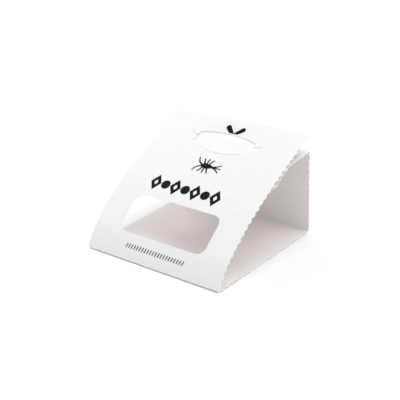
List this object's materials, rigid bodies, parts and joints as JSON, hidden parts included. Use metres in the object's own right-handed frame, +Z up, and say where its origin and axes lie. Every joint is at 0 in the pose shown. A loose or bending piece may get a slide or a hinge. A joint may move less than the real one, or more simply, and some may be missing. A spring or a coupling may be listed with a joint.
{
  "type": "folded card insect glue trap",
  "caption": "folded white card glue trap for crawling insects: wedge-shaped tunnel with open sides, a windowed front panel, a sticky base and a tuck-in locking tongue",
  "frame": {"origin": "centre of the footprint, on the table under the base panel", "axes": "+X across the trap along its creases, +Y from the low front crease to the tall back panel, +Z up"},
  "size_m": [0.0862, 0.0802, 0.0549],
  "materials": {
    "card_outside": "smooth coated white paperboard, satin",
    "card_inside": "uncoated greyish white board, matte",
    "glue": "clear wet-looking adhesive film",
    "ink": "flat black printing ink"
  },
  "bodies": {
    "base": {"base_panel": "card_outside", "glue_layer": "glue", "front_crease": "card_outside", "rear_crease": "card_outside"},
    "front": {"front_panel": "card_outside"},
    "back": {"back_panel": "card_outside", "top_crease": "card_outside"},
    "flap": {"top_flap": "card_outside", "tongue_crease": "card_outside"},
    "tongue": {"lock_tongue": "card_outside"}
  },
  "joints": [
    {"name": "front_fold", "type": "hinge", "parent": "base", "child": "front", "pos_m": [0, -0.03985, 0.00025], "axis": [1, 0, 0], "range_deg": [0, 115]},
    {"name": "rear_fold", "type": "hinge", "parent": "base", "child": "back", "pos_m": [0, 0.03985, 0.00025], "axis": [-1, 0, 0], "range_deg": [0, 90]},
    {"name": "top_fold", "type": "hinge", "parent": "back", "child": "flap", "pos_m": [0, 0.03985, 0.04575], "axis": [-1, 0, 0], "range_deg": [0, 90]},
    {"name": "tongue_fold", "type": "hinge", "parent": "flap", "child": "tongue", "pos_m": [0, 0.03586, 0.04544], "axis": [1, 0, 0], "range_deg": [0, 5]}
  ],
  "couplings": [
    {"joint": "rear_fold", "follows": "front_fold", "ratio": 0.7817},
    {"joint": "top_fold", "follows": "front_fold", "ratio": 0.7817},
    {"joint": "tongue_fold", "follows": "front_fold", "ratio": 0.0426}
  ]
}
